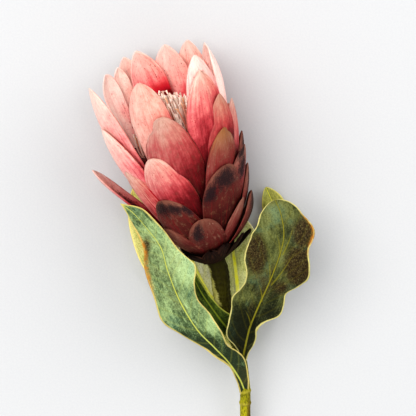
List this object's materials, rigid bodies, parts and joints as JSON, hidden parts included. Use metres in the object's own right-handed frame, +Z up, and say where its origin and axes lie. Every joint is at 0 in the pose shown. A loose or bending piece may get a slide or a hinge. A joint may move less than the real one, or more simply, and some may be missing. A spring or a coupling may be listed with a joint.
{
  "type": "protea flower",
  "caption": "Cut protea flower head of cupped pink bracts over a cone of florets, on a leafy stem, lying on its back on a flat surface.",
  "frame": {"origin": "on the surface that the flower lies on, under the middle of its bounding box", "axes": "+Y along the flower from the cut end of the stem to the top of the head, +X to the right as the flower is seen from above, +Z up from the surface"},
  "size_m": [0.1322, 0.2916, 0.0853],
  "materials": {
    "bract": "satin",
    "scale": "satin",
    "floret": "matte",
    "stem": "satin",
    "leaf": "satin"
  },
  "bodies": {
    "root": {"bracts": "bract", "base_scales": "scale", "floret_cone": "floret", "stem": "stem", "leaf_front_left": "leaf", "leaf_front_right": "leaf", "leaf_back_right": "leaf", "leaf_back_centre_left": "leaf", "leaf_back_centre_right": "leaf", "leaf_low_small": "leaf", "leaf_back_left": "leaf"}
  },
  "joints": []
}
